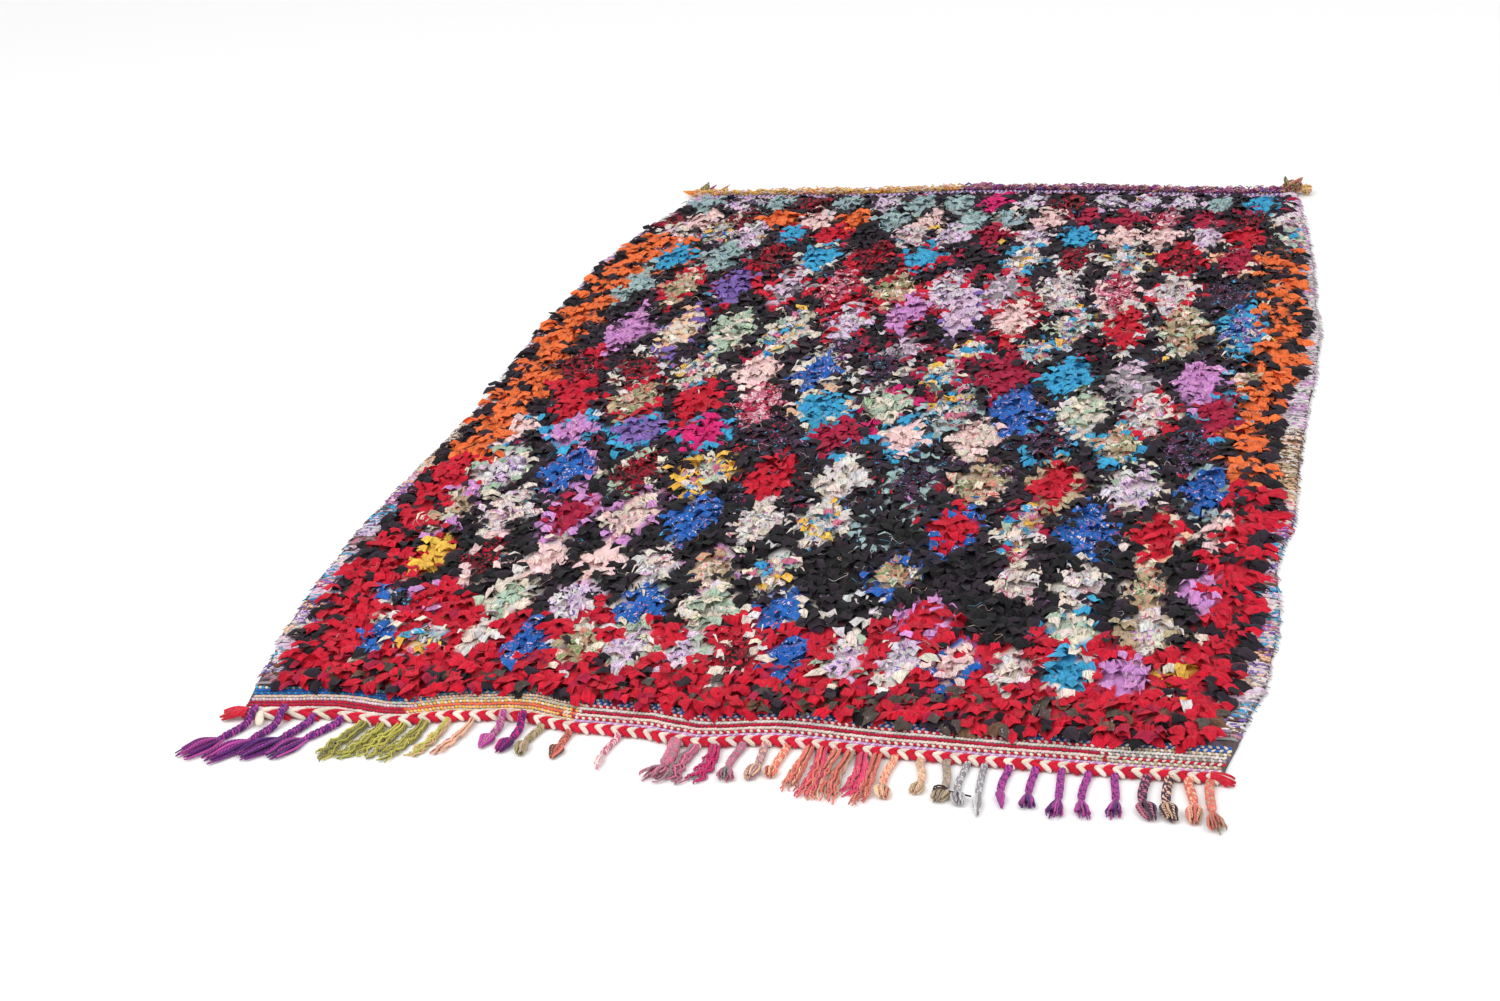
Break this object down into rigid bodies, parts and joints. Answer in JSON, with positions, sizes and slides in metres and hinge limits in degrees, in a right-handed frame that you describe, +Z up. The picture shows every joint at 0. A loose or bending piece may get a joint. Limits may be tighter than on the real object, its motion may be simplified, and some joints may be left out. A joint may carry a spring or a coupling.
{
  "type": "boucherouite rug",
  "caption": "Long flat rag-pile rug with a flat-woven end band, a twined end chain, a tasselled fringe and a twisted cord along its other end.",
  "frame": {"origin": "on the flat underside of the cloth, near the middle of the rug, on the floor that it lies on", "axes": "+Z up out of the pile, +Y along the rug's length towards the end with the twisted cord, -Y towards the fringed end, X across the rug"},
  "size_m": [1.5978, 2.6837, 0.0326],
  "materials": {
    "rag_pile": "cut rag pile of cotton and jersey strips, dark ground with many colours",
    "twined_rag": "red and cream rag strands twined into a chain",
    "warp_yarn": "plied and plaited warp yarn, matt",
    "edge_cord": "twisted yarn cord, matt"
  },
  "bodies": {
    "root": {"rug_cloth": "rag_pile", "end_chain": "twined_rag", "fringe": "warp_yarn", "far_cord": "edge_cord", "corner_knot_left": "edge_cord", "corner_knot_right": "edge_cord"}
  },
  "joints": []
}
